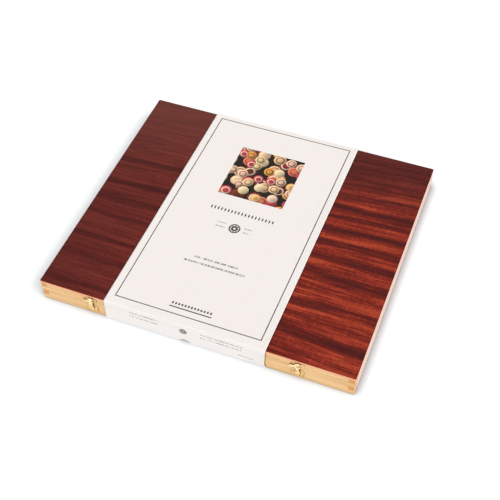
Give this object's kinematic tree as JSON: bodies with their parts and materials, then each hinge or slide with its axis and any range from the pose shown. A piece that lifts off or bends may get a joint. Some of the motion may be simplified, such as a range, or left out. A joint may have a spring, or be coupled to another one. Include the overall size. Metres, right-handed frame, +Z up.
{
  "type": "wooden pastel case",
  "caption": "Flat hinged-lid wooden case of artists' pastels with two swinging brass hook latches and a card sleeve, sticks in foam trays inside.",
  "frame": {"origin": "middle of the case in plan, on the surface that it lies on", "axes": "+X right along the case's long side, -Y the latch side, +Y the hinge side, +Z up"},
  "size_m": [0.43, 0.3832, 0.0362],
  "materials": {
    "beech": "satin",
    "plywood": "matte",
    "mahogany": "satin",
    "foam": "matte",
    "tray_foam": "matte",
    "card": "satin",
    "wrapper_paper": "matte",
    "pastel": "matte",
    "brass": "polished"
  },
  "bodies": {
    "base": {"base_front_rail": "beech", "base_back_rail": "beech", "base_left_rail": "beech", "base_right_rail": "beech", "base_bottom_panel": "plywood", "sleeve_lower": "card", "hinge_base_screws": "brass", "latch_plate_nails": "brass", "pastel_tray_1": "tray_foam", "pastel_sticks_row_1": "pastel", "pastel_wrappers_row_1": "wrapper_paper", "pastel_tray_2": "tray_foam", "pastel_sticks_row_2": "pastel", "pastel_wrappers_row_2": "wrapper_paper", "pastel_tray_3": "tray_foam", "pastel_sticks_row_3": "pastel", "pastel_wrappers_row_3": "wrapper_paper", "pastel_tray_4": "tray_foam", "pastel_sticks_row_4": "pastel", "pastel_wrappers_row_4": "wrapper_paper", "latch_left_plate": "brass", "latch_left_rivet": "brass", "hinge_left_base_leaf": "brass", "hinge_left_pin": "brass", "latch_right_plate": "brass", "latch_right_rivet": "brass", "hinge_right_base_leaf": "brass", "hinge_right_pin": "brass"},
    "lid": {"lid_front_rail": "beech", "lid_back_rail": "beech", "lid_left_rail": "beech", "lid_right_rail": "beech", "lid_top_panel": "plywood", "lid_top_veneer": "mahogany", "lid_foam_pad": "foam", "sleeve_upper": "card", "hinge_lid_screws": "brass", "latch_keeper_nails": "brass", "latch_left_keeper": "brass", "latch_left_stud": "brass", "hinge_left_lid_leaf": "brass", "latch_right_keeper": "brass", "latch_right_stud": "brass", "hinge_right_lid_leaf": "brass"},
    "left_hook": {"latch_left_hook": "brass"},
    "right_hook": {"latch_right_hook": "brass"}
  },
  "joints": [
    {"name": "lid_hinge", "type": "hinge", "parent": "base", "child": "lid", "pos_m": [0, 0.1898, 0.0247], "axis": [-1, 0, 0], "range_deg": [0, 182]},
    {"name": "latch_left_swing", "type": "hinge", "parent": "base", "child": "left_hook", "pos_m": [-0.1415, -0.1875, 0.0141], "axis": [0, -1, 0], "range_deg": [0, 100]},
    {"name": "latch_right_swing", "type": "hinge", "parent": "base", "child": "right_hook", "pos_m": [0.1415, -0.1875, 0.0141], "axis": [0, -1, 0], "range_deg": [0, 100]}
  ]
}
